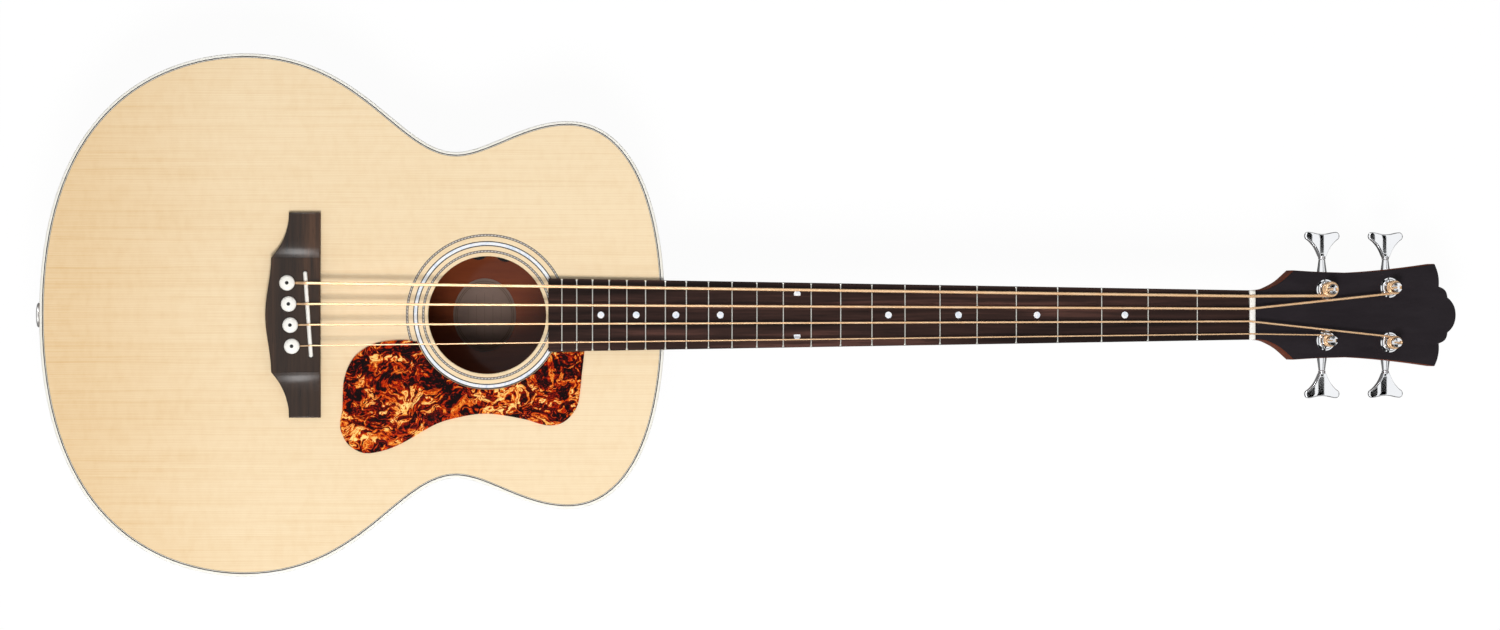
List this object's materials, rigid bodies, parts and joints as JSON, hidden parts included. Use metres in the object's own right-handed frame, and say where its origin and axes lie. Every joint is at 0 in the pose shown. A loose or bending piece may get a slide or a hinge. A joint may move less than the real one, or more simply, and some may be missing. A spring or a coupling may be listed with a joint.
{
  "type": "acoustic bass guitar",
  "caption": "Acoustic bass guitar with an arched back, round soundhole, pickguard, pinned bridge and open geared tuners, whose keys turn the string posts.",
  "frame": {"origin": "middle of the footprint, at the lowest point of the arched back, on the surface that the instrument lies on", "axes": "+X from the tail of the body to the tip of the headstock, +Y to the side of the thickest string, +Z out of the soundboard"},
  "size_m": [1.1992, 0.4322, 0.1369],
  "materials": {
    "spruce_top": "gloss lacquer over straight, fine grain",
    "mahogany": "gloss lacquer, red-brown",
    "neck_mahogany": "satin lacquer, red-brown",
    "rosewood": "bare, oiled",
    "black_veneer": "satin black lacquer",
    "bare_spruce": "unfinished",
    "bare_mahogany": "unfinished",
    "bare_wood": "unfinished",
    "binding": "gloss ivory",
    "white_plastic": "smooth",
    "pearl": "iridescent inlay",
    "rosette_dark": "dark and light chequer inlay",
    "tortoiseshell": "mottled red-brown, gloss",
    "black_plastic": "matte",
    "battery_case": "printed wrap, plain",
    "label_paper": "plain paper",
    "bronze": "round wound",
    "brass": "bare",
    "steel": "bare",
    "jack_metal": "plated",
    "chrome": "mirror plated"
  },
  "bodies": {
    "instrument": {"soundboard": "spruce_top", "back_plate": "mahogany", "side_bass": "mahogany", "side_treble": "mahogany", "top_lining": "bare_wood", "back_lining": "bare_wood", "neck_block": "bare_mahogany", "tail_block": "bare_mahogany", "x_brace_over": "bare_spruce", "x_brace_under": "bare_spruce", "upper_brace": "bare_spruce", "tone_bar_front": "bare_spruce", "tone_bar_rear": "bare_spruce", "bridge_plate": "bare_wood", "top_binding": "binding", "back_binding": "binding", "rosette_ring_inner": "rosette_dark", "rosette_ring_pearl": "pearl", "rosette_ring_outer": "rosette_dark", "pickguard": "tortoiseshell", "bridge": "rosewood", "saddle": "white_plastic", "pickup_strip": "brass", "preamp_case": "black_plastic", "battery": "battery_case", "endpin_jack": "jack_metal", "paper_label": "label_paper", "neck": "neck_mahogany", "heel_cap": "binding", "fretboard": "rosewood", "nut": "white_plastic", "truss_rod": "steel", "headstock_veneer": "black_veneer", "string_e": "bronze", "tuner_e_housing": "chrome", "tuner_e_bushing": "chrome", "string_a": "bronze", "tuner_a_housing": "chrome", "tuner_a_bushing": "chrome", "string_d": "bronze", "tuner_d_housing": "chrome", "tuner_d_bushing": "chrome", "string_g": "bronze", "tuner_g_housing": "chrome", "tuner_g_bushing": "chrome"},
    "key_e": {"tuner_e_key": "chrome"},
    "post_e": {"tuner_e_post": "chrome"},
    "key_a": {"tuner_a_key": "chrome"},
    "post_a": {"tuner_a_post": "chrome"},
    "key_d": {"tuner_d_key": "chrome"},
    "post_d": {"tuner_d_post": "chrome"},
    "key_g": {"tuner_g_key": "chrome"},
    "post_g": {"tuner_g_post": "chrome"},
    "pin_e": {"bridge_pin_e": "white_plastic"},
    "pin_a": {"bridge_pin_a": "white_plastic"},
    "pin_d": {"bridge_pin_d": "white_plastic"},
    "pin_g": {"bridge_pin_g": "white_plastic"},
    "volume_wheel_body": {"volume_wheel": "black_plastic"},
    "tone_wheel_body": {"tone_wheel": "black_plastic"},
    "rod_nut": {"truss_rod_nut": "steel"}
  },
  "joints": [
    {"name": "key_e_turn", "type": "hinge", "parent": "instrument", "child": "key_e", "pos_m": [0.48318, 0.0215, 0.08702], "axis": [0, 1, 0], "continuous": true},
    {"name": "post_e_turn", "type": "hinge", "parent": "instrument", "child": "post_e", "pos_m": [0.48112, 0.0215, 0.11099], "axis": [0.225, 0, 0.9744], "continuous": true},
    {"name": "key_a_turn", "type": "hinge", "parent": "instrument", "child": "key_a", "pos_m": [0.54077, 0.0232, 0.07372], "axis": [0, 1, 0], "continuous": true},
    {"name": "post_a_turn", "type": "hinge", "parent": "instrument", "child": "post_a", "pos_m": [0.53871, 0.0232, 0.0977], "axis": [0.225, 0, 0.9744], "continuous": true},
    {"name": "key_d_turn", "type": "hinge", "parent": "instrument", "child": "key_d", "pos_m": [0.54077, -0.0232, 0.07372], "axis": [0, 1, 0], "continuous": true},
    {"name": "post_d_turn", "type": "hinge", "parent": "instrument", "child": "post_d", "pos_m": [0.53871, -0.0232, 0.0977], "axis": [0.225, 0, 0.9744], "continuous": true},
    {"name": "key_g_turn", "type": "hinge", "parent": "instrument", "child": "key_g", "pos_m": [0.48318, -0.0215, 0.08702], "axis": [0, 1, 0], "continuous": true},
    {"name": "post_g_turn", "type": "hinge", "parent": "instrument", "child": "post_g", "pos_m": [0.48112, -0.0215, 0.11099], "axis": [0.225, 0, 0.9744], "continuous": true},
    {"name": "pin_e_pull", "type": "slide", "parent": "instrument", "child": "pin_e", "axis": [0, 0, 1], "range_m": [0, 0.025]},
    {"name": "pin_a_pull", "type": "slide", "parent": "instrument", "child": "pin_a", "axis": [0, 0, 1], "range_m": [0, 0.025]},
    {"name": "pin_d_pull", "type": "slide", "parent": "instrument", "child": "pin_d", "axis": [0, 0, 1], "range_m": [0, 0.025]},
    {"name": "pin_g_pull", "type": "slide", "parent": "instrument", "child": "pin_g", "axis": [0, 0, 1], "range_m": [0, 0.025]},
    {"name": "volume_wheel_turn", "type": "hinge", "parent": "instrument", "child": "volume_wheel_body", "pos_m": [-0.23039, 0.05441, 0.1156], "axis": [0, 0, 1], "range_deg": [-135, 135]},
    {"name": "tone_wheel_turn", "type": "hinge", "parent": "instrument", "child": "tone_wheel_body", "pos_m": [-0.20809, 0.05281, 0.1156], "axis": [0, 0, 1], "range_deg": [-135, 135]},
    {"name": "rod_nut_turn", "type": "hinge", "parent": "instrument", "child": "rod_nut", "pos_m": [-0.136, 0, 0.1112], "axis": [1, 0, 0], "range_deg": [-360, 360]}
  ],
  "couplings": [
    {"joint": "post_e_turn", "follows": "key_e_turn", "ratio": -0.05},
    {"joint": "post_a_turn", "follows": "key_a_turn", "ratio": -0.05},
    {"joint": "post_d_turn", "follows": "key_d_turn", "ratio": 0.05},
    {"joint": "post_g_turn", "follows": "key_g_turn", "ratio": 0.05}
  ]
}
